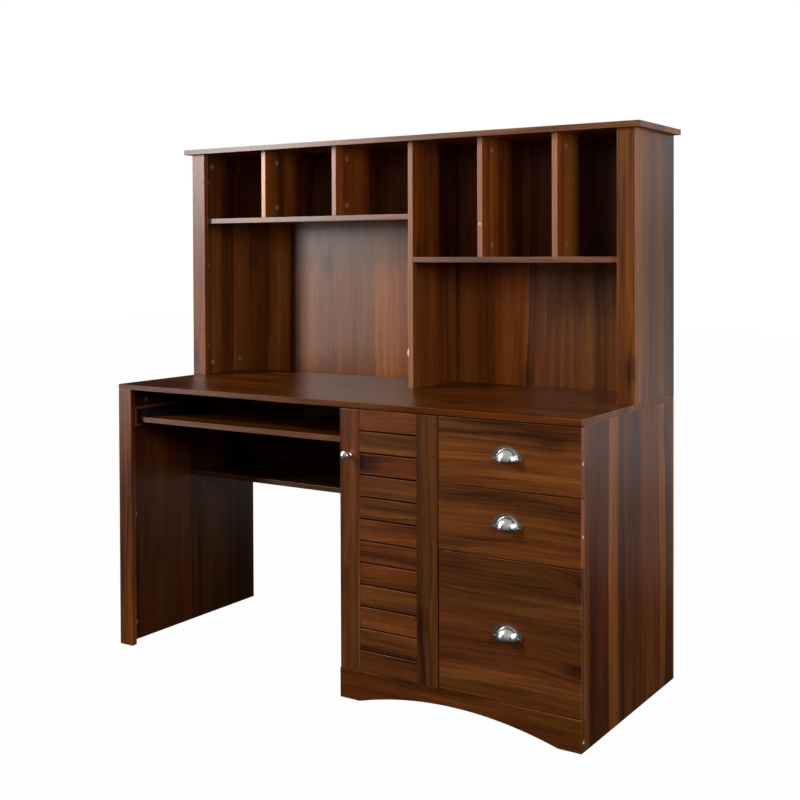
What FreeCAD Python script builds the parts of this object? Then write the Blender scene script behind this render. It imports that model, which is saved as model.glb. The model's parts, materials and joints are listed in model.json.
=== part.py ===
import FreeCAD, Part
import math
import os
from FreeCAD import Vector

os.makedirs("parts", exist_ok=True)

# ---------------------------------------------------------------------------------------
# Driving dimensions, in millimetres. While the parts are built, X = 0 is the middle of the
# desk, Y = 0 is the front edge of the desk top, +Y runs to the back and Z = 0 is the floor.
# ---------------------------------------------------------------------------------------
desk_width = 1467.0
desk_depth = 586.0
desk_height = 760.0
board = 15.0                  # tops, sides, shelves and partitions
front_board = 18.0            # door frame, drawer fronts, stiles and plinth
front_standoff = 1.0          # door and drawer fronts stand this far proud of the frame's front
front_gap = 3.0               # between the desk top and the door or the top drawer
drawer_gap = 2.5              # between one drawer front and the next

stile_width = 49.0            # front stiles of the desk's open side and of the hutch
cabinet_left = 60.0           # outer face of the centre partition
bay_split = 355.5             # middle of the partition between the door bay and the drawer bay
plinth_height = 77.0
plinth_foot = 60.0            # flat foot at each end of the arch
arch_rise = 38.5

knee_shelf_front = 308.0
knee_shelf_bottom = 448.0

tray_front = 28.0
tray_depth = 246.0
tray_bottom = 650.0
tray_rail_length = 350.0
tray_rail_height = 40.0
tray_rail_setback = 23.0      # front end of the rails, behind the front of the desk
tray_rail_lift = 16.0         # middle of the rails above the underside of the tray
tray_runner_length = 300.0
tray_runner_height = 32.0
tray_spacer_length = 360.0
tray_spacer_height = 58.0     # block that brings the left rail out to the edge of the stile
slide_gap = 13.5              # between the tray's end and the face its rail is fixed to
rail_clearance = 2.5          # between a channel's lips and the part that moves past it

door_left = 62.5
door_right = 353.5
door_bottom = 78.5
door_stile_width = 59.5
slat_count = 12
slat_slot = 4.5
slat_thickness = 12.0
slat_recess = 1.5
knob_height = 625.0
knob_projection = 28.5
hinge_heights = (170.0, 650.0)
hinge_cup_radius = 17.5
hinge_cup_depth = 11.5
hinge_cup_inset = 21.5        # from the door's edge to the cup's centre

drawer_left = 357.5
drawer_bottoms = (581.75, 419.75, 79.5)
drawer_side_board = 12.0
drawer_floor = 3.0
drawer_side_heights = (110.0, 110.0, 250.0)
drawer_lengths = (400.0, 400.0, 450.0)
drawer_rail_lengths = (350.0, 350.0, 450.0)
drawer_side_lift = 22.0       # underside of the box above the lower edge of its front
drawer_back_drop = 12.0       # the back is this much lower than the sides
drawer_rail_lift = 28.0       # middle of the rails above the underside of the box
drawer_rail_height = 36.0
drawer_rail_setback = 4.0     # front end of the fixed rails, behind the frame's front
drawer_runner_height = 26.0
drawer_runner_setback = 3.0
drawer_runner_shortfall = 20.0
runner_gap = 12.5             # between the drawer box and the wall beside it
pull_bottoms = (652.0, 492.5, 233.0)
pull_screw_spacing = 64.0
pull_screw_lift = 9.0

hutch_front = 318.0           # front face of the hutch's stiles
hutch_height = 702.0          # from the desk top to the top of the hutch
hutch_top_overhang = 19.5     # at each end
hutch_top_front = 301.0
left_shelf_top = 1247.5
right_shelf_top = 1127.0
main_divider_x = 63.0
back_panel = 5.0              # thickness of the hutch's back, let into the sides
cable_hole_radius = 25.0
cable_hole_x = -76.0
cable_hole_height = 78.0      # above the desk top

cam_radius = 7.5
cam_proud = 0.8
cam_edge_distance = 32.0      # from a cam's centre to the joint it tightens
cam_front_setback = 55.0      # first cam behind the front edges of the hutch's boards
cam_back_setback = 50.0
cam_foot_height = 36.0        # of the hutch's lowest cams above the desk top
desk_cam_setback = 30.0
desk_cam_drop = 38.0
stile_cam_heights = (849.0, 1103.0, 1363.0)
desk_stile_cam_heights = (52.0, 372.0)
desk_top_cam_depths = (96.0, 500.0)
plinth_plug_height = 25.0
divider_plug_height = 1216.0
drawer_plug_heights = (659.0, 493.0)
plug_radius = 4.0
plug_proud = 0.5
sheet = 1.2                   # steel of the rails and runners

# Values worked out from the driving dimensions
half_width = desk_width / 2
inner_x = half_width - board
under_top = desk_height - board
frame_front = front_board
back_front = desk_depth - board
hutch_board_front = hutch_front + front_board
hutch_under_top = desk_height + hutch_height - board
front_face = -front_standoff
front_back = front_face + front_board
fronts_top = under_top - front_gap
bay_left_wall = bay_split - board / 2
bay_right_wall = bay_split + board / 2
cabinet_floor_bottom = plinth_height - board
spacer_face = stile_width - half_width
tray_left = spacer_face + slide_gap
tray_right = cabinet_left - slide_gap
tray_rail_middle = tray_bottom + tray_rail_lift
drawer_middle = (drawer_left + half_width) / 2
knob_x = door_left + door_stile_width / 2
overall_depth = desk_depth + front_standoff + knob_projection
front_offset = front_standoff + knob_projection - overall_depth / 2


# ---------------------------------------------------------------------------------------
# Helpers
# ---------------------------------------------------------------------------------------
def block(x_span, y_span, z_span):
    """A board or bar between two X, two Y and two Z planes."""
    size = [span[1] - span[0] for span in (x_span, y_span, z_span)]
    return Part.makeBox(*size, Vector(x_span[0], y_span[0], z_span[0]))


def scaled(shape, sx, sy, sz):
    matrix = FreeCAD.Matrix()
    matrix.scale(sx, sy, sz)
    return shape.transformGeometry(matrix)


def save(name, shapes):
    """Write one node, moved so that the middle of the whole footprint is at X = Y = 0."""
    placed = [shape.translated(Vector(0, front_offset, 0)) for shape in shapes]
    result = placed[0] if len(placed) == 1 else Part.makeCompound(placed)
    result.exportStep("parts/%s.step" % name)


# ---------------------------------------------------------------------------------------
# Desk frame
# ---------------------------------------------------------------------------------------
def desk_frame():
    full_depth = (frame_front, desk_depth)
    partition_depth = (frame_front, back_front)
    knee_width = (-inner_x, cabinet_left)
    knee_shelf_top = knee_shelf_bottom + board
    boards = {
        "desk_top": block((-half_width, half_width), (0, desk_depth), (under_top, desk_height)),
        "left_end_panel": block((-half_width, -inner_x), full_depth, (0, under_top)),
        "right_end_panel": block((inner_x, half_width), full_depth, (0, under_top)),
        "left_front_stile": block((-half_width, stile_width - half_width), (0, front_board), (0, under_top)),
        "centre_partition": block((cabinet_left, cabinet_left + board), full_depth, (0, under_top)),
        "drawer_partition": block((bay_left_wall, bay_right_wall), partition_depth,
                                  (plinth_height, under_top)),
        "cabinet_bottom": block((cabinet_left + board, inner_x), partition_depth,
                                (cabinet_floor_bottom, plinth_height)),
        "cabinet_back": block((cabinet_left + board, inner_x), (back_front, desk_depth),
                              (cabinet_floor_bottom, under_top)),
        "knee_shelf": block(knee_width, (knee_shelf_front, desk_depth), (knee_shelf_bottom, knee_shelf_top)),
        "modesty_panel": block(knee_width, (back_front, desk_depth), (knee_shelf_top, under_top)),
        "arched_plinth": arched_plinth(),
    }
    return {name: [shape] for name, shape in boards.items()}


def arched_plinth():
    """Board across the foot of the cabinet, cut away below by one shallow arc."""
    arch_left = cabinet_left + plinth_foot
    arch_right = half_width - plinth_foot
    outline = [
        Vector(arch_left, 0, 0),
        Vector(cabinet_left, 0, 0),
        Vector(cabinet_left, 0, plinth_height),
        Vector(half_width, 0, plinth_height),
        Vector(half_width, 0, 0),
        Vector(arch_right, 0, 0),
    ]
    crown = Vector((arch_left + arch_right) / 2, 0, arch_rise)
    arch = Part.Arc(outline[-1], crown, outline[0]).toShape()
    sides = Part.makePolygon(outline).Edges
    face = Part.Face(Part.Wire(sides + [arch]))
    return face.extrude(Vector(0, front_board, 0))


# ---------------------------------------------------------------------------------------
# Hutch
# ---------------------------------------------------------------------------------------
def hutch_boards():
    height = (desk_height, hutch_under_top)
    side_depth = (hutch_board_front, desk_depth)
    inside_depth = (hutch_board_front, back_front)
    stile_depth = (hutch_front, hutch_board_front)
    top_half = half_width + hutch_top_overhang
    divider_left = main_divider_x - board / 2
    divider_right = main_divider_x + board / 2
    boards = {
        "hutch_left_side": block((-half_width, -inner_x), side_depth, height),
        "hutch_right_side": block((inner_x, half_width), side_depth, height),
        "hutch_left_stile": block((-half_width, stile_width - half_width), stile_depth, height),
        "hutch_right_stile": block((half_width - stile_width, half_width), stile_depth, height),
        "hutch_top_board": block((-top_half, top_half), (hutch_top_front, desk_depth),
                                 (hutch_under_top, desk_height + hutch_height)),
        "hutch_main_divider": block((divider_left, divider_right), inside_depth, height),
        "hutch_left_shelf": block((-inner_x, divider_left), inside_depth,
                                  (left_shelf_top - board, left_shelf_top)),
        "hutch_right_shelf": block((divider_right, inner_x), inside_depth,
                                   (right_shelf_top - board, right_shelf_top)),
        "hutch_back_panel": hutch_back_panel(),
    }
    return {name: [shape] for name, shape in boards.items()}


def cubby_divider_pairs():
    """Two equal boards stand between each shelf and the hutch's top."""
    inside_depth = (hutch_board_front, back_front)
    boards = [block((middle - board / 2, middle + board / 2), inside_depth, (shelf_top, hutch_under_top))
              for middle, shelf_top in cubby_dividers()]
    return {"left_cubby_dividers": boards[:2], "right_cubby_dividers": boards[2:]}


def cubby_dividers():
    """Middle of each cubby divider and the shelf it stands on: three equal cubbies a side."""
    bays = (
        (-inner_x, main_divider_x - board / 2, left_shelf_top),
        (main_divider_x + board / 2, inner_x, right_shelf_top),
    )
    dividers = []
    for left, right, shelf_top in bays:
        cubby = (right - left - 2 * board) / 3
        for number in (1, 2):
            dividers.append((left + number * cubby + (number - 0.5) * board, shelf_top))
    return dividers


def hutch_back_panel():
    """Back board, with a round hole through it for cables."""
    panel = block((-inner_x, inner_x), (back_front, back_front + back_panel), (desk_height, hutch_under_top))
    start = Vector(cable_hole_x, back_front - board, desk_height + cable_hole_height)
    hole = Part.makeCylinder(cable_hole_radius, 3 * board, start, Vector(0, 1, 0))
    return panel.cut(hole)


# ---------------------------------------------------------------------------------------
# Cam locks and edge plugs
# ---------------------------------------------------------------------------------------
def cam_lock(x, y, z, facing):
    """Cam's visible head: a disc with a cross recess, standing a little proud of a board."""
    recess_length = 9.0
    recess_width = 1.6
    recess_depth = 0.5
    disc = Part.makeCylinder(cam_radius, cam_proud, Vector(0, 0, 0), Vector(1, 0, 0))
    recess_x = (cam_proud - recess_depth, cam_proud)
    long_side = (-recess_length / 2, recess_length / 2)
    short_side = (-recess_width / 2, recess_width / 2)
    cross = block(recess_x, long_side, short_side).fuse(block(recess_x, short_side, long_side))
    head = disc.cut(cross)
    if facing < 0:
        head.rotate(Vector(0, 0, 0), Vector(0, 0, 1), 180)
    return head.translated(Vector(x, y, z))


def cam_locks():
    front_row = hutch_board_front + cam_front_setback
    back_row = back_front - cam_back_setback
    stile_row = hutch_board_front + cam_edge_distance
    top_row = hutch_under_top - cam_edge_distance
    foot_row = desk_height + cam_foot_height
    cams = []
    for y in (front_row, back_row):
        for z in (foot_row, top_row):
            cams.append(cam_lock(-inner_x, y, z, 1))
            cams.append(cam_lock(inner_x, y, z, -1))
            cams.append(cam_lock(main_divider_x - board / 2, y, z, -1))
        for middle, shelf_top in cubby_dividers():
            for z in (shelf_top + cam_edge_distance, top_row):
                cams.append(cam_lock(middle + board / 2, y, z, 1))
    for z in stile_cam_heights:
        cams.append(cam_lock(-inner_x, stile_row, z, 1))
        cams.append(cam_lock(inner_x, stile_row, z, -1))
    for z in desk_stile_cam_heights:
        cams.append(cam_lock(-inner_x, frame_front + desk_cam_setback, z, 1))
    for y in desk_top_cam_depths:
        cams.append(cam_lock(-inner_x, y, under_top - desk_cam_drop, 1))
    return cams


def plug(x, y, z, direction):
    return Part.makeCylinder(plug_radius, plug_proud, Vector(x, y, z), direction)


def frame_plugs():
    """One plug in the right end of the plinth and one in the front edge of a cubby divider."""
    divider_middle = cubby_dividers()[2][0]
    return [
        plug(half_width, front_board / 2, plinth_plug_height, Vector(1, 0, 0)),
        plug(divider_middle, hutch_board_front, divider_plug_height, Vector(0, -1, 0)),
    ]


# ---------------------------------------------------------------------------------------
# Rails and runners, shared by the tray and the drawers
# ---------------------------------------------------------------------------------------
def fixed_rail(wall_x, facing, y_span, middle_z, height, reach):
    """Channel on a wall, open towards the moving part; facing is +1 or -1 along X."""
    low = middle_z - height / 2
    high = middle_z + height / 2
    web = sorted((wall_x, wall_x + facing * sheet))
    flange = sorted((wall_x, wall_x + facing * reach))
    rail = block(web, y_span, (low, high))
    for z_span in ((low, low + sheet), (high - sheet, high)):
        rail = rail.fuse(block(flange, y_span, z_span))
    return rail.removeSplitter()


def moving_rail(part_x, facing, y_span, middle_z, height, reach):
    """Plate on the moving part with a bar that runs inside the channel."""
    bar_height = 0.45 * height
    plate = sorted((part_x, part_x + facing * sheet))
    bar = sorted((part_x, part_x + facing * reach))
    rail = block(plate, y_span, (middle_z - height / 2, middle_z + height / 2))
    rail = rail.fuse(block(bar, y_span, (middle_z - bar_height / 2, middle_z + bar_height / 2)))
    return rail.removeSplitter()


# ---------------------------------------------------------------------------------------
# Keyboard tray
# ---------------------------------------------------------------------------------------
def tray_parts():
    """Tray on a pair of side slides; a spacer block carries the left rail past the front stile."""
    rail_span = (tray_rail_setback, tray_rail_setback + tray_rail_length)
    runner_span = (tray_front, tray_front + tray_runner_length)
    reach = slide_gap - rail_clearance
    spacer_low = tray_rail_middle - tray_spacer_height / 2
    walls = ((spacer_face, 1, tray_left), (cabinet_left, -1, tray_right))
    rails = [fixed_rail(wall, facing, rail_span, tray_rail_middle, tray_rail_height, reach)
             for wall, facing, _ in walls]
    runners = [moving_rail(end, -facing, runner_span, tray_rail_middle, tray_runner_height, reach)
               for _, facing, end in walls]
    tray = block((tray_left, tray_right), (tray_front, tray_front + tray_depth),
                 (tray_bottom, tray_bottom + board))
    spacer = block((-inner_x, spacer_face), (frame_front, frame_front + tray_spacer_length),
                   (spacer_low, spacer_low + tray_spacer_height))
    return {"keyboard_tray": [tray], "tray_runners": runners, "tray_fixed_rails": rails,
            "tray_spacer": [spacer]}


# ---------------------------------------------------------------------------------------
# Louvred door
# ---------------------------------------------------------------------------------------
def door_parts():
    y_span = (front_face, front_back)
    z_span = (door_bottom, fronts_top)
    hinge_stile = block((door_right - door_stile_width, door_right), y_span, z_span)
    cups = []
    for z in hinge_heights:
        hinge_stile = hinge_stile.cut(hinge_pocket(z))
        cups.append(hinge_cup(z))
    screw_base = Vector(knob_x, front_back, knob_height)
    return {
        "door_hinge_stile": [hinge_stile],
        "door_knob_stile": [block((door_left, door_left + door_stile_width), y_span, z_span)],
        "door_slats": door_slats(),
        "door_hinge_cups": cups,
        "door_knob": [door_knob()],
        "door_knob_screw": [screw_head(screw_base)],
    }


def door_slats():
    """Flat slats between the stiles, with an open slot between each pair."""
    height = (fronts_top - door_bottom - (slat_count - 1) * slat_slot) / slat_count
    x_span = (door_left + door_stile_width, door_right - door_stile_width)
    y_span = (front_face + slat_recess, front_face + slat_recess + slat_thickness)
    slats = []
    for number in range(slat_count):
        low = door_bottom + number * (height + slat_slot)
        slats.append(block(x_span, y_span, (low, low + height)))
    return slats


def hinge_pocket(z):
    clearance = 0.2
    start = Vector(door_right - hinge_cup_inset, front_back - hinge_cup_depth - clearance, z)
    depth = hinge_cup_depth + 1.0
    return Part.makeCylinder(hinge_cup_radius + clearance, depth, start, Vector(0, 1, 0))


def hinge_cup(z):
    wall = 1.5
    start = Vector(door_right - hinge_cup_inset, front_back - hinge_cup_depth, z)
    outer = Part.makeCylinder(hinge_cup_radius, hinge_cup_depth, start, Vector(0, 1, 0))
    inner_start = start + Vector(0, wall, 0)
    inner = Part.makeCylinder(hinge_cup_radius - wall, hinge_cup_depth, inner_start, Vector(0, 1, 0))
    return outer.cut(inner)


def hinge_arms():
    """Mounting plate and arm of each concealed hinge, on the drawer partition."""
    plate_thickness = 1.5
    plate_depths = (36.0, 88.0)
    plate_height = 48.0
    arm_reach = 11.0
    arm_depths = (24.0, 84.0)
    arm_width = 14.0
    arms = []
    for z in hinge_heights:
        plate = block((bay_left_wall - plate_thickness, bay_left_wall), plate_depths,
                      (z - plate_height / 2, z + plate_height / 2))
        arm = block((bay_left_wall - arm_reach, bay_left_wall - plate_thickness), arm_depths,
                    (z - arm_width / 2, z + arm_width / 2))
        arms.append(plate.fuse(arm).removeSplitter())
    return arms


def door_knob():
    """Round knob turned about a front-to-back axis: rose, flaring waist and a shallow domed head."""
    rose_radius = 6.6
    rose_thickness = 1.5
    waist_radius = 4.2
    waist_out = 9.0
    rose_cove = (4.7, 4.6)
    waist_flare = (5.7, 16.2)
    neck_radius = 9.6
    neck_out = 21.0
    rim_radius = 11.2
    rim_out = 25.6
    widest = (12.0, 23.4)
    dome_height = knob_projection - rim_out
    dome_radius = (rim_radius ** 2 + dome_height ** 2) / (2 * dome_height)
    dome_middle = rim_radius / 2
    dome_drop = dome_radius - math.sqrt(dome_radius ** 2 - dome_middle ** 2)

    def point(radius, out):
        return Vector(radius, -out, 0)

    def arc(start, middle, end):
        return Part.Arc(point(*start), point(*middle), point(*end)).toShape()

    rose = Part.makePolygon([point(0, 0), point(rose_radius, 0), point(rose_radius, rose_thickness)]).Edges
    profile = [
        arc((rose_radius, rose_thickness), rose_cove, (waist_radius, waist_out)),
        arc((waist_radius, waist_out), waist_flare, (neck_radius, neck_out)),
        arc((neck_radius, neck_out), widest, (rim_radius, rim_out)),
        arc((rim_radius, rim_out), (dome_middle, knob_projection - dome_drop), (0, knob_projection)),
        Part.makeLine(point(0, knob_projection), point(0, 0)),
    ]
    outline = Part.Face(Part.Wire(rose + profile))
    knob = outline.revolve(Vector(0, 0, 0), Vector(0, 1, 0), 360)
    return knob.translated(Vector(knob_x, front_face, knob_height))


def screw_head(base):
    """Low domed head of a fixing screw on the back of a door stile or drawer front."""
    radius = 4.5
    height = 2.4
    rounding = 1.0
    head = Part.makeCylinder(radius, height, base, Vector(0, 1, 0))
    outer_edge = [edge for edge in head.Edges
                  if edge.BoundBox.YMin > base.y + height / 2 and edge.BoundBox.XLength > radius]
    return head.makeFillet(rounding, outer_edge)


# ---------------------------------------------------------------------------------------
# Drawers
# ---------------------------------------------------------------------------------------
def pull_outline(inset):
    """Arched outline of the pull's plate: a low arc above a straight foot, with rounded corners."""
    arch_radius = 44.0
    arch_top = 33.5
    corner = 6.0
    centre_z = arch_top - arch_radius
    corner_x = math.sqrt((arch_radius - corner) ** 2 - (corner - centre_z) ** 2)
    corner_angle = math.atan2(corner - centre_z, corner_x)
    radius = arch_radius - inset
    small = corner - inset

    def corner_point(side, angle):
        return Vector(side * (corner_x + small * math.cos(angle)), 0, corner + small * math.sin(angle))

    def arch_point(angle):
        return Vector(radius * math.cos(angle), 0, centre_z + radius * math.sin(angle))

    foot = -math.pi / 2
    shoulder = arch_point(corner_angle)
    far_shoulder = arch_point(math.pi - corner_angle)
    middle_angle = (foot + corner_angle) / 2
    edges = [
        Part.makeLine(corner_point(-1, foot), corner_point(1, foot)),
        Part.Arc(corner_point(1, foot), corner_point(1, middle_angle), shoulder).toShape(),
        Part.Arc(shoulder, arch_point(math.pi / 2), far_shoulder).toShape(),
        Part.Arc(far_shoulder, corner_point(-1, middle_angle), corner_point(-1, foot)).toShape(),
    ]
    return Part.Face(Part.Wire(edges))


def bin_pull(bottom):
    """Cup pull: an arched plate with a raised rim, and a hollow hood open below."""
    plate_thickness = 1.6
    rim_width = 3.0
    rim_height = 3.2
    hood = (29.0, 24.0, 29.0)
    hood_wall = 1.7
    reach = 60.0

    plate = pull_outline(0).extrude(Vector(0, -plate_thickness, 0))
    rim = pull_outline(0).extrude(Vector(0, -rim_height, 0))
    rim = rim.cut(pull_outline(rim_width).extrude(Vector(0, -rim_height, 0)))
    ball = Part.makeSphere(1.0)
    quarter = block((-reach, reach), (-reach, 0), (0, reach))
    outer = scaled(ball, *hood).common(quarter)
    inner = scaled(ball, *(size - hood_wall for size in hood))
    pull = plate.fuse(rim).fuse(outer).cut(inner)
    return pull.translated(Vector(drawer_middle, front_face, bottom))


def drawer_parts(name, index):
    bottom = drawer_bottoms[index]
    top = fronts_top if index == 0 else drawer_bottoms[index - 1] - drawer_gap
    box_low = bottom + drawer_side_lift
    box_high = box_low + drawer_side_heights[index]
    box_left = bay_right_wall + runner_gap
    box_right = inner_x - runner_gap
    box_back = front_back + drawer_lengths[index]
    rail_middle = box_low + drawer_rail_lift
    runner_front = front_back + drawer_runner_setback
    runner_span = (runner_front, runner_front + drawer_rail_lengths[index] - drawer_runner_shortfall)
    runner_reach = runner_gap - rail_clearance
    depth = (front_back, box_back)
    sides = [
        block((box_left, box_left + drawer_side_board), depth, (box_low, box_high)),
        block((box_right - drawer_side_board, box_right), depth, (box_low, box_high)),
    ]
    back = block((box_left + drawer_side_board, box_right - drawer_side_board),
                 (box_back - drawer_side_board, box_back), (box_low, box_high - drawer_back_drop))
    runners = [
        moving_rail(box_left, -1, runner_span, rail_middle, drawer_runner_height, runner_reach),
        moving_rail(box_right, 1, runner_span, rail_middle, drawer_runner_height, runner_reach),
    ]
    screws = [screw_head(Vector(drawer_middle + side * pull_screw_spacing / 2, front_back,
                                pull_bottoms[index] + pull_screw_lift)) for side in (-1, 1)]
    parts = {
        name + "_front": [block((drawer_left, half_width), (front_face, front_back), (bottom, top))],
        name + "_sides": sides,
        name + "_back": [back],
        name + "_floor": [block((box_left, box_right), depth, (box_low - drawer_floor, box_low))],
        name + "_pull": [bin_pull(pull_bottoms[index])],
        name + "_pull_screws": screws,
        name + "_runners": runners,
    }
    return parts


def drawer_fixed_rails():
    """Cabinet-side channel of every drawer, one pair for each."""
    rail_front = frame_front + drawer_rail_setback
    reach = runner_gap - rail_clearance
    rails = []
    for bottom, length in zip(drawer_bottoms, drawer_rail_lengths):
        span = (rail_front, rail_front + length)
        middle = bottom + drawer_side_lift + drawer_rail_lift
        for wall, facing in ((bay_right_wall, 1), (inner_x, -1)):
            rails.append(fixed_rail(wall, facing, span, middle, drawer_rail_height, reach))
    return rails


def drawer_plug(height):
    return plug(half_width, front_face + front_board / 2, height, Vector(1, 0, 0))


# ---------------------------------------------------------------------------------------
# Write every node
# ---------------------------------------------------------------------------------------
for group in (desk_frame(), hutch_boards(), cubby_divider_pairs(), tray_parts(), door_parts()):
    for node, shapes in group.items():
        save(node, shapes)

for drawer_index, drawer_name in enumerate(("top_drawer", "middle_drawer", "file_drawer")):
    for node, shapes in drawer_parts(drawer_name, drawer_index).items():
        save(node, shapes)

for drawer_name, plug_height in zip(("top_drawer", "middle_drawer"), drawer_plug_heights):
    save(drawer_name + "_edge_plug", [drawer_plug(plug_height)])
save("cam_locks", cam_locks())
save("edge_plugs", frame_plugs())
save("drawer_fixed_rails", drawer_fixed_rails())
save("hinge_arms", hinge_arms())
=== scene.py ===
import json
import math

import bpy
from mathutils import Matrix, Vector

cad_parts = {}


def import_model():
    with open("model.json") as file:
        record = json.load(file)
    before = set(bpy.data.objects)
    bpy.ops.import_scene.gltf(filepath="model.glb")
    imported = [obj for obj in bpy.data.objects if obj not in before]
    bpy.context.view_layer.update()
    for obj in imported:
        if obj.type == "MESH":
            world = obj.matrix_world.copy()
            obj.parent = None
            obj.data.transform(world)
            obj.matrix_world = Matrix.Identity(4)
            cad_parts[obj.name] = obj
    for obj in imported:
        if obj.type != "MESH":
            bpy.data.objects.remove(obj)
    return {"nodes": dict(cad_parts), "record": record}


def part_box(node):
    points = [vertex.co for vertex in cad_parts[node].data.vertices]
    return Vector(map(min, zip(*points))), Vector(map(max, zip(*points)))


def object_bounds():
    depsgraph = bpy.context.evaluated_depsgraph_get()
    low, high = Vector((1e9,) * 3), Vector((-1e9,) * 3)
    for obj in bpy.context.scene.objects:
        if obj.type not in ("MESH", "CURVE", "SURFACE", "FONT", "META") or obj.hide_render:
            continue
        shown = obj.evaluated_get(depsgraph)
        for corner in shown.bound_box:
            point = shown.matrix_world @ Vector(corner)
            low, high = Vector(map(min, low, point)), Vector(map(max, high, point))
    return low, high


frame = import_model()
cad_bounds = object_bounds()
nodes = frame["nodes"]
low, high = cad_bounds

# ---------------------------------------------------------------------------------------
# Sizes in metres, angles in radians, power in watts
# ---------------------------------------------------------------------------------------
EDGE_RADIUS = 0.0012              # softened arris of every board
METAL_EDGE = 0.00025
WELD_REACH = 0.00001
SHARP_EDGE = math.radians(35)     # edges that turn by more than this are rounded

SLATS = 12
SLAT_SLOT = 0.0045

CAMERA_AWAY = (1.1198, -2.4685)   # from the object's right end and front, to the right and forwards
CAMERA_HEIGHT = 1.1334
CAMERA_TURN = 0.57697             # from straight ahead towards the left
CAMERA_DIP = 0.016855
CAMERA_ROLL = -0.003524
SENSOR_WIDTH = 36.0               # in millimetres
FIELD_FOCAL = 1.50924             # focal length as a share of the picture's width
HORIZON_SHIFT = -0.15602

FLOOR_REACH = 14.0
FLOOR_DROP = 0.0005               # keeps the floor clear of the feet
FLOOR_SEEN = 0.62                 # the paper's own lightness, as the camera sees it
FLOOR_BOUNCE = 0.06               # and as the object receives it
FLOOR_GLOW = 0.985                # share of the seen floor that is plain white
SWEEP_START = (0.9, 1.6)          # where the paper behind the object begins to shine into polished faces
SWEEP_GLOW = 0.13
WORLD_LEVELS = {"back": 0.026, "front": 0.004, "above": 0.006}

LIGHT_TARGET = (0.0, 0.0, 0.75)
# Front lights: name, side, place, width and height, power.
FRONT_LIGHTS = (
    ("key", "key", (-2.30, -2.17, 1.74), (0.50, 0.85), 34.0),
    ("key_high", "key", (-2.30, -2.17, 2.60), (0.50, 0.70), 64.0),
    ("key_side", "key", (-2.20, -1.00, 1.60), (0.60, 0.80), 3.4),
    ("fill_side", "fill", (2.77, -1.60, 1.50), (0.45, 0.80), 33.0),
    ("fill_end", "fill", (3.15, -0.56, 1.50), (0.50, 0.80), 19.5),
    ("front", "fill", (0.0, -4.0, 2.2), (2.0, 1.5), 3.5),
    ("front_right", "fill", (2.0, -3.46, 2.2), (2.0, 1.5), 4.5),
)
# Lights that every piece takes in full: name, place, width and height, power.
SHARED_LIGHTS = (
    ("key_low", (-2.30, -2.17, 0.70), (0.50, 0.70), 6.6),
    ("back_low", (1.52, 3.26, 0.60), (1.8, 1.4), 2.4),
    ("back_high", (1.52, 3.26, 2.00), (1.8, 1.4), 5.2),
    ("back_side", (2.76, 2.31, 0.60), (1.8, 1.4), 3.3),
)
# Boards that take the front lights of a side without their mirror image.
KEY_MATT = ("desk_top", "keyboard_tray", "arched_plinth", "cabinet_bottom")
FILL_MATT = (*KEY_MATT, "hutch_top_board")

GLOW_TARGET = (0.3, -0.3, 0.6)
GLOWS = (
    ("glow_above", (0.3, -1.0, 3.2), (5.0, 5.0), 38.0),
    ("glow_front", (0.4, -3.6, 1.0), (3.4, 1.8), 5.0),
    ("glow_left", (-3.6, -1.8, 1.2), (2.4, 2.4), 9.0),
)
POLISHED = ("top_drawer_pull", "middle_drawer_pull", "file_drawer_pull", "door_knob")

# ---------------------------------------------------------------------------------------
# Boards and their print
# ---------------------------------------------------------------------------------------
# Every board: the axis its grain runs along, the axis across its broad faces, how light its print is
# and how much lighter its edge banding is. Both lightnesses were fitted to the lit boards, so they are partly
# the print's own tone and partly painted light. The edge factor carries painted sheen, and some board factors
# lift boards that sit in shade, such as the modesty panel.
BOARDS = {
    "desk_top": ("x", "z", 1.03, 1.0),
    "knee_shelf": ("x", "z", 0.95, 1.1),
    # painted light: the modesty panel is lightened to stand in for bounce light in the shade under the desk
    "modesty_panel": ("x", "y", 1.90, 1.0),
    "arched_plinth": ("x", "y", 1.02, 1.0),
    "cabinet_bottom": ("x", "z", 1.00, 1.0),
    "keyboard_tray": ("x", "z", 0.95, 1.1),
    "hutch_top_board": ("x", "z", 1.35, 1.1),
    "hutch_left_shelf": ("x", "z", 1.20, 1.5),
    "hutch_right_shelf": ("x", "z", 1.70, 1.28),
    "top_drawer_front": ("x", "y", 1.52, 1.1),
    "middle_drawer_front": ("x", "y", 1.38, 1.1),
    "file_drawer_front": ("x", "y", 1.03, 1.1),
    "left_end_panel": ("z", "x", 0.84, 1.0),
    "right_end_panel": ("z", "x", 1.30, 1.1),
    "left_front_stile": ("z", "y", 1.50, 1.0),
    "centre_partition": ("z", "x", 1.00, 1.0),
    "drawer_partition": ("z", "x", 1.00, 1.0),
    "cabinet_back": ("z", "y", 1.00, 1.0),
    "hutch_left_side": ("z", "x", 1.35, 1.0),
    "hutch_right_side": ("z", "x", 1.30, 1.0),
    "hutch_left_stile": ("z", "y", 1.25, 1.0),
    "hutch_right_stile": ("z", "y", 1.65, 1.0),
    "hutch_main_divider": ("z", "x", 1.75, 1.45),
    "hutch_back_panel": ("z", "y", 1.95, 1.0),
    "left_cubby_dividers": ("z", "x", 2.05, 1.5),
    "right_cubby_dividers": ("z", "x", 1.50, 1.6),
    "door_hinge_stile": ("z", "y", 0.90, 1.0),
    "door_knob_stile": ("z", "y", 0.78, 1.0),
    "door_slats": ("x", "y", 1.25, 1.2),
    "tray_spacer": ("y", "x", 1.00, 1.0),
}
DRAWER_BOX_SEED = 0.4
DRAWER_BOX_LIGHT = 0.8
AXES = {"x": (1.0, 0.0, 0.0), "y": (0.0, 1.0, 0.0), "z": (0.0, 0.0, 1.0)}
END_AXES = {"x": ("y", "z"), "y": ("x", "z"), "z": ("x", "y")}   # across and along, on the sawn ends

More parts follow.
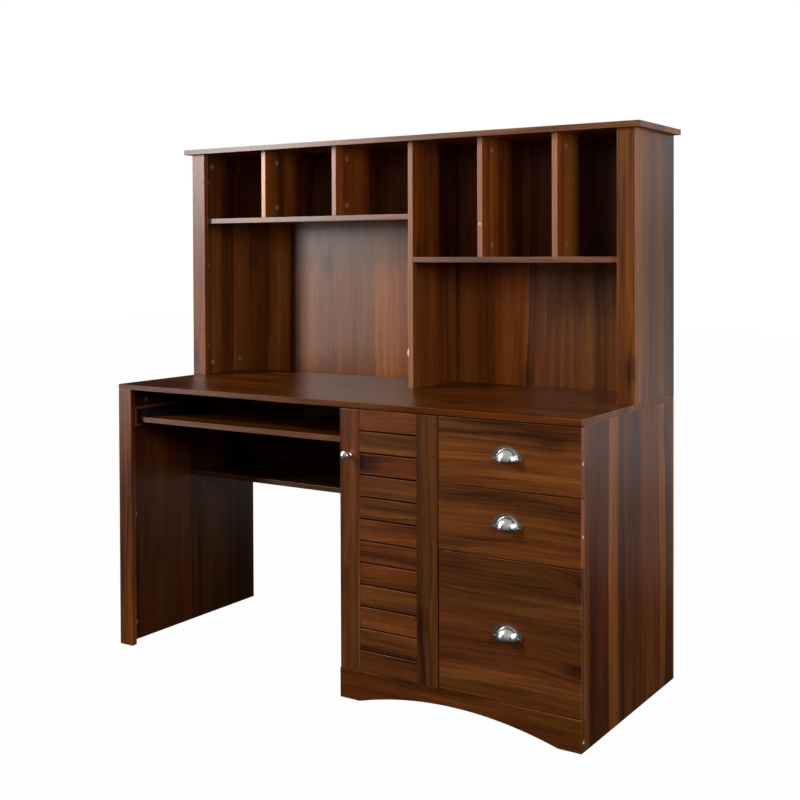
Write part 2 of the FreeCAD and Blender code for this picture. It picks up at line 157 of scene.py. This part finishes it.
WALNUT = (
    (0.00, (0.030, 0.0062, 0.0008)),
    (0.20, (0.064, 0.0145, 0.0014)),
    (0.40, (0.098, 0.0250, 0.0028)),
    (0.60, (0.130, 0.0350, 0.0045)),
    (0.80, (0.168, 0.0475, 0.0072)),
    (1.00, (0.225, 0.0700, 0.0140)),
)
PORE_COLOUR = (0.012, 0.003, 0.001)
WARM_TINT = (1.08, 0.90, 0.95)
COOL_TINT = (0.94, 1.06, 1.10)
# painted sheen: the pale colour that the front edges mix towards, standing in for the key light's reflection
PAINTED_SHEEN_COLOUR = (0.60, 0.50, 0.45)

# Layers of noise in the print: repeats per metre across and along the grain, detail, roughness.
LAYERS = {
    "wander": (3.5, 1.5, 2.0, 0.5),
    "ripple": (24.0, 6.0, 2.0, 0.5),
    "broad": (16.0, 0.9, 2.0, 0.5),
    "middle": (70.0, 2.6, 4.0, 0.62),
    "fine": (330.0, 5.0, 3.0, 0.6),
    "hue": (8.0, 0.8, 1.0, 0.5),
    "pores": (1400.0, 26.0, 1.0, 0.5),
}
LAYER_SHIFTS = {"ripple": 2.3, "hue": 4.7}         # keep these two from following the others
TONE_MIDDLE = 0.50
TONE_WEIGHTS = {"broad": 1.60, "middle": 1.50, "fine": 0.85}
PLANK_WEIGHT = 0.60
PLANKS_PER_METRE = 19.0

WANDER = 0.075                    # sideways wander of the grain, where the figure is 1
RIPPLE = 0.010
SWIRL = 0.022                     # the same, round a knot
KNOTS_ACROSS = 5.6                # knot cells per metre
KNOTS_ALONG = 2.7
SWIRL_REACH = 0.36                # share of a knot's cell
EYE_REACH = (0.03, 0.16)
KNOT_CHANCE = (0.45, 0.62)
SWIRL_SHADE = 0.08
EYE_SHADE = 0.60

SEED_STEP = 1.37                  # from one board's seed to the next
SLAT_SEED_STEP = 3.17
SEED_ACROSS = 0.731               # shift of the print for a seed of 1
SEED_ALONG = 1.913

# Ranges of the cosine between a face and an axis, over which one finish gives way to another.
END_FACE = (0.68, 0.72)
EDGE_FACE = (0.70, 0.60)
ARRIS_OFF_EDGE = (0.06, 0.30)
ARRIS_OFF_FACE = (0.99, 0.90)
ARRIS_PAINTED_HIGHLIGHT = 1.8                 # painted highlight: how much lighter the print is along an arris, where the rounded edge catches the light
EDGE_PAINTED_SHEEN = 0.35                  # painted sheen: how much of the pale sheen colour the light edge banding takes


# ---------------------------------------------------------------------------------------
# Node helpers
# ---------------------------------------------------------------------------------------
class Shader:
    """A small wrapper that adds nodes to one node tree and returns their output sockets."""

    def __init__(self, tree):
        self.tree = tree

    def node(self, kind, **settings):
        made = self.tree.nodes.new(kind)
        for key, value in settings.items():
            setattr(made, key, value)
        return made

    def feed(self, socket, value):
        if isinstance(value, bpy.types.NodeSocket):
            self.tree.links.new(value, socket)
        else:
            socket.default_value = value

    def math(self, operation, first, second=0.0, third=0.0, clamp=False):
        made = self.node("ShaderNodeMath", operation=operation, use_clamp=clamp)
        for socket, value in zip(made.inputs, (first, second, third)):
            self.feed(socket, value)
        return made.outputs[0]

    def combine(self, x, y, z=0.0):
        made = self.node("ShaderNodeCombineXYZ")
        for socket, value in zip(made.inputs, (x, y, z)):
            self.feed(socket, value)
        return made.outputs[0]

    def split(self, vector):
        """The X, Y and Z outputs of a vector."""
        made = self.node("ShaderNodeSeparateXYZ")
        self.feed(made.inputs[0], vector)
        return made.outputs

    def coordinate(self, output):
        return self.node("ShaderNodeTexCoord").outputs[output]

    def ray(self, kind):
        return self.node("ShaderNodeLightPath").outputs[kind]

    def object_value(self, name, output="Fac"):
        """A custom property of the object that the material is on."""
        return self.node("ShaderNodeAttribute", attribute_type="OBJECT", attribute_name=name).outputs[output]

    def noise(self, vector, scale=1.0, detail=2.0, roughness=0.5):
        made = self.node("ShaderNodeTexNoise", noise_dimensions="3D")
        self.feed(made.inputs["Vector"], vector)
        self.feed(made.inputs["Scale"], scale)
        self.feed(made.inputs["Detail"], detail)
        self.feed(made.inputs["Roughness"], roughness)
        return made.outputs["Fac"]

    def span(self, value, start, end, to_start=0.0, to_end=1.0, smooth=False):
        """The value, mapped from one range to another and kept inside it."""
        made = self.node("ShaderNodeMapRange", interpolation_type="SMOOTHSTEP" if smooth else "LINEAR")
        for socket, item in zip(made.inputs, (value, start, end, to_start, to_end)):
            self.feed(socket, item)
        return made.outputs[0]

    def ramp(self, value, stops):
        made = self.node("ShaderNodeValToRGB")
        self.feed(made.inputs[0], value)
        elements = made.color_ramp.elements
        while len(elements) < len(stops):
            elements.new(0.5)
        for element, (position, colour) in zip(elements, stops):
            element.position = position
            element.color = (*colour, 1.0)
        return made.outputs[0]

    def mix(self, factor, first, second, blend="MIX"):
        made = self.node("ShaderNodeMix", data_type="RGBA", blend_type=blend)
        self.feed(made.inputs[0], factor)
        for socket, value in ((made.inputs[6], first), (made.inputs[7], second)):
            self.feed(socket, (*value, 1.0) if isinstance(value, tuple) else value)
        return made.outputs[2]

    def emission(self, strength):
        made = self.node("ShaderNodeEmission")
        made.inputs["Color"].default_value = (1, 1, 1, 1)
        self.feed(made.inputs["Strength"], strength)
        return made.outputs[0]


def new_material(name):
    material = bpy.data.materials.new(name)
    material.use_nodes = True
    tree = material.node_tree
    return material, Shader(tree), tree.nodes["Principled BSDF"]


def bump(shader, bsdf, height, distance, strength):
    made = shader.node("ShaderNodeBump")
    shader.feed(made.inputs["Height"], height)
    made.inputs["Distance"].default_value = distance
    made.inputs["Strength"].default_value = strength
    shader.feed(bsdf.inputs["Normal"], made.outputs[0])


# ---------------------------------------------------------------------------------------
# Walnut laminate
# ---------------------------------------------------------------------------------------
def grain_coordinates(shader, grain, cells):
    """Distance across the grain and along it, shifted by each board's own seed.

    The banding on a sawn end has its grain along the band, so the ends take other axes.
    """
    axes = dict(zip("xyz", shader.split(shader.coordinate("Object"))))
    normal = dict(zip("xyz", shader.split(shader.coordinate("Normal"))))[grain]
    end = shader.span(shader.math("ABSOLUTE", normal), *END_FACE)
    side_axes = [axis for name, axis in axes.items() if name != grain]
    end_across, end_along = (axes[name] for name in END_AXES[grain])

    def choose(face_value, end_value):
        step = shader.math("MULTIPLY", end, shader.math("SUBTRACT", end_value, face_value))
        return shader.math("ADD", face_value, step)

    seed = shader.object_value("board_seed")
    if cells:
        axis, start, pitch = cells
        number = shader.math("FLOOR", shader.math("DIVIDE", shader.math("SUBTRACT", axes[axis], start), pitch))
        seed = shader.math("MULTIPLY_ADD", number, SLAT_SEED_STEP, seed)
    across = choose(shader.math("ADD", *side_axes), end_across)
    along = choose(axes[grain], end_along)
    across = shader.math("MULTIPLY_ADD", seed, SEED_ACROSS, across)
    along = shader.math("MULTIPLY_ADD", seed, SEED_ALONG, along)
    return across, along, seed


def board_light(shader):
    """How light this point's print is, and how much painted sheen it takes.

    The print has the board's own lightness, lightened on the edge banding and along every arris. On the
    banding this is partly the banding's own colour and partly painted sheen. Along the arris it is a painted
    highlight where the rounded edge catches the light. The painted sheen also mixes the edges towards a pale
    colour in place of the key light's reflection.
    """
    dot = shader.node("ShaderNodeVectorMath", operation="DOT_PRODUCT")
    shader.feed(dot.inputs[0], shader.coordinate("Normal"))
    shader.feed(dot.inputs[1], shader.object_value("broad_axis", "Vector"))
    facing = shader.math("ABSOLUTE", dot.outputs["Value"])
    edge = shader.span(facing, *EDGE_FACE)
    # edge banding: partly its own lighter colour, partly the key light's painted sheen
    banding = shader.math("MULTIPLY", edge, shader.math("SUBTRACT", shader.object_value("edge_banding_and_sheen"), 1.0))
    painted_sheen = shader.math("MULTIPLY", banding, EDGE_PAINTED_SHEEN)
    # painted highlight along every arris, where the rounded edge catches the light
    arris = shader.math("MULTIPLY", shader.span(facing, *ARRIS_OFF_EDGE), shader.span(facing, *ARRIS_OFF_FACE))
    raised = shader.math("MULTIPLY_ADD", arris, ARRIS_PAINTED_HIGHLIGHT, shader.math("ADD", banding, 1.0))
    return shader.math("MULTIPLY", shader.object_value("board_light"), raised), painted_sheen


def knots(shader, across, along):
    """Swirl round each knot and the dark eye in it, both 0 where a cell has no knot."""
    cells = shader.node("ShaderNodeTexVoronoi", voronoi_dimensions="2D", feature="F1")
    shader.feed(cells.inputs["Vector"], shader.combine(shader.math("MULTIPLY", across, KNOTS_ACROSS),
                                                       shader.math("MULTIPLY", along, KNOTS_ALONG)))
    cells.inputs["Scale"].default_value = 1.0
    distance = cells.outputs["Distance"]
    chance = shader.node("ShaderNodeSeparateColor")
    shader.feed(chance.inputs[0], cells.outputs["Color"])
    present = shader.span(chance.outputs[1], *KNOT_CHANCE)
    swirl = shader.span(distance, 0.0, SWIRL_REACH, 1.0, 0.0, smooth=True)
    eye = shader.span(distance, *EYE_REACH, 1.0, 0.0, smooth=True)
    return shader.math("MULTIPLY", swirl, present), shader.math("MULTIPLY", eye, present)


def plank_tone(shader, line):
    """One tone from -0.5 to 0.5 for each plank of the print."""
    cells = shader.node("ShaderNodeTexVoronoi", voronoi_dimensions="1D", feature="F1")
    shader.feed(cells.inputs["W"], shader.math("MULTIPLY", line, PLANKS_PER_METRE))
    cells.inputs["Scale"].default_value = 1.0
    tone = shader.node("ShaderNodeSeparateColor")
    shader.feed(tone.inputs[0], cells.outputs["Color"])
    return shader.math("SUBTRACT", tone.outputs[0], 0.5)


def walnut(name, grain, figure=1.0, planks=0.5, streak=1.0, cells=None):
    """Printed walnut: wandering streaks, planks of differing tone, knots and fine pores.

    The figure scales the grain's wander and knots, planks the planks' difference and streak the
    streaks' contrast. Cells are an axis, a start and a pitch: each cell gets its own piece of grain.
    """
    material, shader, bsdf = new_material(name)
    across, along, seed = grain_coordinates(shader, grain, cells)

    def field(layer, line):
        across_scale, along_scale, detail, roughness = LAYERS[layer]
        place = shader.combine(shader.math("MULTIPLY", line, across_scale),
                               shader.math("MULTIPLY", along, along_scale),
                               shader.math("ADD", seed, LAYER_SHIFTS.get(layer, 0.0)))
        return shader.math("SUBTRACT", shader.noise(place, detail=detail, roughness=roughness), 0.5)

    line = shader.math("MULTIPLY_ADD", field("wander", across), WANDER * figure, across)
    line = shader.math("MULTIPLY_ADD", field("ripple", across), RIPPLE * figure, line)
    swirl, eye = knots(shader, across, along)
    line = shader.math("MULTIPLY_ADD", swirl, SWIRL * figure, line)

    streaks = {layer: field(layer, line) for layer in TONE_WEIGHTS}
    tone = TONE_MIDDLE
    for layer, weight in TONE_WEIGHTS.items():
        tone = shader.math("MULTIPLY_ADD", streaks[layer], weight * streak, tone)
    tone = shader.math("MULTIPLY_ADD", plank_tone(shader, line), PLANK_WEIGHT * planks, tone)
    tone = shader.math("MULTIPLY_ADD", eye, -EYE_SHADE * figure, tone)
    tone = shader.math("MULTIPLY_ADD", swirl, -SWIRL_SHADE * figure, tone, clamp=True)
    colour = shader.ramp(tone, WALNUT)

    hue = field("hue", line)
    for tint, limit in ((WARM_TINT, 0.2), (COOL_TINT, -0.2)):
        tinted = shader.mix(1.0, colour, tint, "MULTIPLY")
        colour = shader.mix(shader.span(hue, 0.0, limit), colour, tinted)
    pore = shader.span(field("pores", line), 0.10, 0.22, 0.0, 0.45)
    colour = shader.mix(pore, colour, PORE_COLOUR)
    light, painted_sheen = board_light(shader)
    # the board's lightness, partly the print's own tone and partly painted light, with the painted sheen and
    # arris highlight
    colour = shader.mix(1.0, colour, shader.combine(light, light, light), "MULTIPLY")
    # painted sheen: the edge faces mix towards a pale colour in place of the key light's reflection
    colour = shader.mix(painted_sheen, colour, PAINTED_SHEEN_COLOUR)

    shader.feed(bsdf.inputs["Base Color"], colour)
    shader.feed(bsdf.inputs["Roughness"], shader.span(streaks["middle"], -0.2, 0.2, 0.28, 0.34))
    bsdf.inputs["Specular IOR Level"].default_value = 0.5
    relief = shader.math("SUBTRACT", streaks["fine"], shader.math("MULTIPLY", pore, 1.5))
    bump(shader, bsdf, relief, 0.00008, 0.4)
    return material


# ---------------------------------------------------------------------------------------
# Metal, paint and plastic
# ---------------------------------------------------------------------------------------
def metal(name, colour, roughness, metallic=1.0):
    """Polished or dull metal with faint clouds and hairlines."""
    material, shader, bsdf = new_material(name)
    place = shader.coordinate("Object")
    cloud = shader.noise(place, scale=90.0, detail=3.0)
    hairlines = shader.noise(place, scale=1500.0, detail=2.0)
    dull = tuple(0.82 * part for part in colour)
    shader.feed(bsdf.inputs["Base Color"], shader.mix(cloud, colour, dull))
    bsdf.inputs["Metallic"].default_value = metallic
    shader.feed(bsdf.inputs["Roughness"], shader.span(cloud, 0.3, 0.7, roughness, roughness + 0.08))
    bump(shader, bsdf, hairlines, 0.00001, 0.4)
    return material


def plain(name, colour, roughness):
    """Plastic or paint: a fine mottled grain over one colour."""
    material, shader, bsdf = new_material(name)
    place = shader.coordinate("Object")
    grit = shader.noise(place, scale=700.0, detail=3.0)
    cloud = shader.noise(place, scale=17.5, detail=2.0)
    shade = tuple(0.75 * part for part in colour)
    shader.feed(bsdf.inputs["Base Color"], shader.mix(cloud, colour, shade))
    shader.feed(bsdf.inputs["Roughness"], shader.span(grit, 0.3, 0.7, roughness - 0.05, roughness + 0.06))
    bump(shader, bsdf, grit, 0.00004, 0.5)
    return material


# ---------------------------------------------------------------------------------------
# Dress the CAD nodes
# ---------------------------------------------------------------------------------------
def soften(piece, radius):
    """Joins the mesh's split corners and rounds its sharp edges."""
    weld = piece.modifiers.new("weld", "WELD")
    weld.merge_threshold = WELD_REACH
    edge = piece.modifiers.new("arris", "BEVEL")
    edge.width = radius
    edge.segments = 2
    edge.limit_method = "ANGLE"
    edge.angle_limit = SHARP_EDGE
    edge.harden_normals = True


def dress(piece, material):
    piece.data.materials.clear()
    piece.data.materials.append(material)


def dress_board(name, material, seed, broad, light, edge_banding_and_sheen):
    """Gives a board its wood, with the values that the wood reads from it."""
    piece = nodes[name]
    piece["board_seed"] = seed
    piece["broad_axis"] = AXES[broad]
    piece["board_light"] = light
    piece["edge_banding_and_sheen"] = edge_banding_and_sheen
    dress(piece, material)


def slat_cells():
    """Where each louvre slat begins, so that no two slats share their grain."""
    slats_low, slats_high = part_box("door_slats")
    pitch = (slats_high.z - slats_low.z + SLAT_SLOT) / SLATS
    return "z", slats_low.z - SLAT_SLOT / 2, pitch


def dress_boards():
    woods = {
        "x": walnut("walnut_along_x", "x", figure=0.6, planks=0.45),
        "y": walnut("walnut_along_y", "y"),
        "z": walnut("walnut_along_z", "z", figure=0.35, planks=1.15, streak=0.55),
    }
    stile_wood = walnut("walnut_stiles", "z", figure=0.5, planks=0.6, streak=0.9)
    slat_wood = walnut("walnut_slats", "x", figure=0.6, planks=0.3, cells=slat_cells())
    for number, (name, (grain, broad, light, edge_banding_and_sheen)) in enumerate(BOARDS.items(), start=1):
        if name == "door_slats":
            material = slat_wood
        elif "stile" in name:
            material = stile_wood
        else:
            material = woods[grain]
        dress_board(name, material, SEED_STEP * number, broad, light, edge_banding_and_sheen)
        soften(nodes[name], EDGE_RADIUS)


def dress_hardware():
    """Metal, paint and plastic pieces, and the drawer boxes."""
    melamine = walnut("drawer_melamine", "y", figure=0.3, planks=0.2)
    finishes = {
        "satin_nickel": metal("nickel", (0.80, 0.78, 0.75), 0.20),
        "zinc_hardware": metal("zinc", (0.36, 0.31, 0.26), 0.38, metallic=0.45),
        "black_slides": plain("black_paint", (0.012, 0.012, 0.013), 0.42),
        "pale_plugs": plain("tan_plastic", (0.72, 0.62, 0.50), 0.5),
    }
    for entry in frame["record"]["subparts"]:
        name, slot = entry["node"], entry["material_slot"]
        if slot == "drawer_box":
            dress_board(name, melamine, DRAWER_BOX_SEED, "x", DRAWER_BOX_LIGHT, 1.0)
            soften(nodes[name], EDGE_RADIUS / 2)
        elif slot in finishes:
            dress(nodes[name], finishes[slot])
        if slot == "black_slides":
            soften(nodes[name], METAL_EDGE)


# ---------------------------------------------------------------------------------------
# Floor, light and camera
# ---------------------------------------------------------------------------------------
def floor_material():
    """White to the camera, dim to the object, and shining into polished faces from behind it."""
    material, shader, bsdf = new_material("pale_floor")
    seen = shader.ray("Is Camera Ray")
    tone = shader.span(seen, 0.0, 1.0, FLOOR_BOUNCE, FLOOR_SEEN)
    shader.feed(bsdf.inputs["Base Color"], shader.combine(tone, tone, tone))
    bsdf.inputs["Roughness"].default_value = 0.9
    bsdf.inputs["Specular IOR Level"].default_value = 0.0
    blend = shader.node("ShaderNodeMixShader")
    shader.feed(blend.inputs[0], shader.math("MULTIPLY", seen, FLOOR_GLOW))
    shader.feed(blend.inputs[1], bsdf.outputs[0])
    shader.feed(blend.inputs[2], shader.emission(1.0))

    far = shader.span(shader.split(shader.coordinate("Object"))[1], *SWEEP_START, smooth=True)
    mirrored = shader.math("MULTIPLY", far, shader.ray("Is Glossy Ray"))
    both = shader.node("ShaderNodeAddShader")
    shader.feed(both.inputs[0], blend.outputs[0])
    shader.feed(both.inputs[1], shader.emission(shader.math("MULTIPLY", mirrored, SWEEP_GLOW)))
    shader.feed(shader.tree.nodes["Material Output"].inputs["Surface"], both.outputs[0])
    material.cycles.emission_sampling = "NONE"
    return material


def floor():
    """Pale studio floor that melts into the white ground behind the object."""
    mesh = bpy.data.meshes.new("studio_floor")
    reach = FLOOR_REACH
    corners = [(-reach, -reach, 0), (reach, -reach, 0), (reach, reach, 0), (-reach, reach, 0)]
    mesh.from_pydata(corners, [], [(0, 1, 2, 3)])
    ground = bpy.data.objects.new("studio_floor", mesh)
    bpy.context.scene.collection.objects.link(ground)
    ground.location.z = -FLOOR_DROP
    ground.data.materials.append(floor_material())
    return ground


def world():
    """White ground behind the object to the camera; as light, faint and strongest from the back."""
    ground = bpy.data.worlds.new("studio")
    bpy.context.scene.world = ground
    ground.use_nodes = True
    shader = Shader(ground.node_tree)
    shader.tree.nodes.clear()
    direction = shader.split(shader.coordinate("Generated"))
    behind = shader.span(direction[1], 0.05, 0.45, smooth=True)
    overhead = shader.span(direction[2], 0.35, 0.8, smooth=True)
    ahead = shader.math("SUBTRACT", 1.0, behind)
    light = shader.math("MULTIPLY", behind, WORLD_LEVELS["back"])
    light = shader.math("MULTIPLY_ADD", ahead, WORLD_LEVELS["front"], light)
    light = shader.math("MULTIPLY_ADD", overhead, WORLD_LEVELS["above"], light)
    seen = shader.ray("Is Camera Ray")
    unseen = shader.math("SUBTRACT", 1.0, seen)
    background = shader.node("ShaderNodeBackground")
    background.inputs["Color"].default_value = (1.0, 1.0, 1.0, 1.0)
    shader.feed(background.inputs["Strength"], shader.math("MULTIPLY_ADD", unseen, light, seen))
    output = shader.node("ShaderNodeOutputWorld")
    shader.feed(output.inputs[0], background.outputs[0])


def softbox(name, place, aim, size, power):
    light = bpy.data.lights.new(name, "AREA")
    light.shape = "RECTANGLE"
    light.size, light.size_y = size
    light.energy = power
    lamp = bpy.data.objects.new(name, light)
    bpy.context.scene.collection.objects.link(lamp)
    lamp.location = place
    lamp.rotation_euler = (Vector(aim) - Vector(place)).to_track_quat("-Z", "Y").to_euler()
    lamp.visible_camera = False
    return lamp


def receivers(name, members):
    """A collection for light linking: a light given it reaches only its members."""
    group = bpy.data.collections.new(name)
    for piece in members:
        group.objects.link(piece)
    return group


def lights(ground):
    """A tall key on the left, a smaller fill on the right and a faint glow from behind.

    A few boards take some front lights without their mirror image, which would burn out on a shallow view.
    """
    pieces = [*nodes.values(), ground]
    splits = {}
    for side, names in (("key", KEY_MATT), ("fill", FILL_MATT)):
        matt = receivers(side + "_matt_boards", [piece for piece in pieces if piece.name in names])
        shiny = receivers(side + "_shiny_pieces", [piece for piece in pieces if piece.name not in names])
        splits[side] = matt, shiny
    for name, side, place, size, power in FRONT_LIGHTS:
        matt, shiny = splits[side]
        softbox(name, place, LIGHT_TARGET, size, power).light_linking.receiver_collection = shiny
        twin = softbox(name + "_matt", place, LIGHT_TARGET, size, power)
        twin.light_linking.receiver_collection = matt
        twin.visible_glossy = False
    for name, place, size, power in SHARED_LIGHTS:
        softbox(name, place, LIGHT_TARGET, size, power)


def metal_glow():
    """Wide soft boxes that only the polished pieces see, so that they mirror a bright room."""
    mirrors = receivers("polished_pieces", [nodes[name] for name in POLISHED])
    for name, place, size, power in GLOWS:
        softbox(name, place, GLOW_TARGET, size, power).light_linking.receiver_collection = mirrors


def camera():
    lens = bpy.data.cameras.new("camera")
    lens.sensor_width = SENSOR_WIDTH
    lens.lens = FIELD_FOCAL * SENSOR_WIDTH
    lens.shift_y = HORIZON_SHIFT
    view = bpy.data.objects.new("camera", lens)
    bpy.context.scene.collection.objects.link(view)
    place = Vector((high.x + CAMERA_AWAY[0], low.y + CAMERA_AWAY[1], CAMERA_HEIGHT))
    turn = Matrix.Rotation(CAMERA_TURN, 4, "Z") @ Matrix.Rotation(math.pi / 2 - CAMERA_DIP, 4, "X")
    view.matrix_world = Matrix.Translation(place) @ turn @ Matrix.Rotation(CAMERA_ROLL, 4, "Z")
    bpy.context.scene.camera = view


dress_boards()
dress_hardware()
studio_floor = floor()
world()
lights(studio_floor)
metal_glow()
camera()
bpy.context.scene.view_settings.view_transform = "Standard"
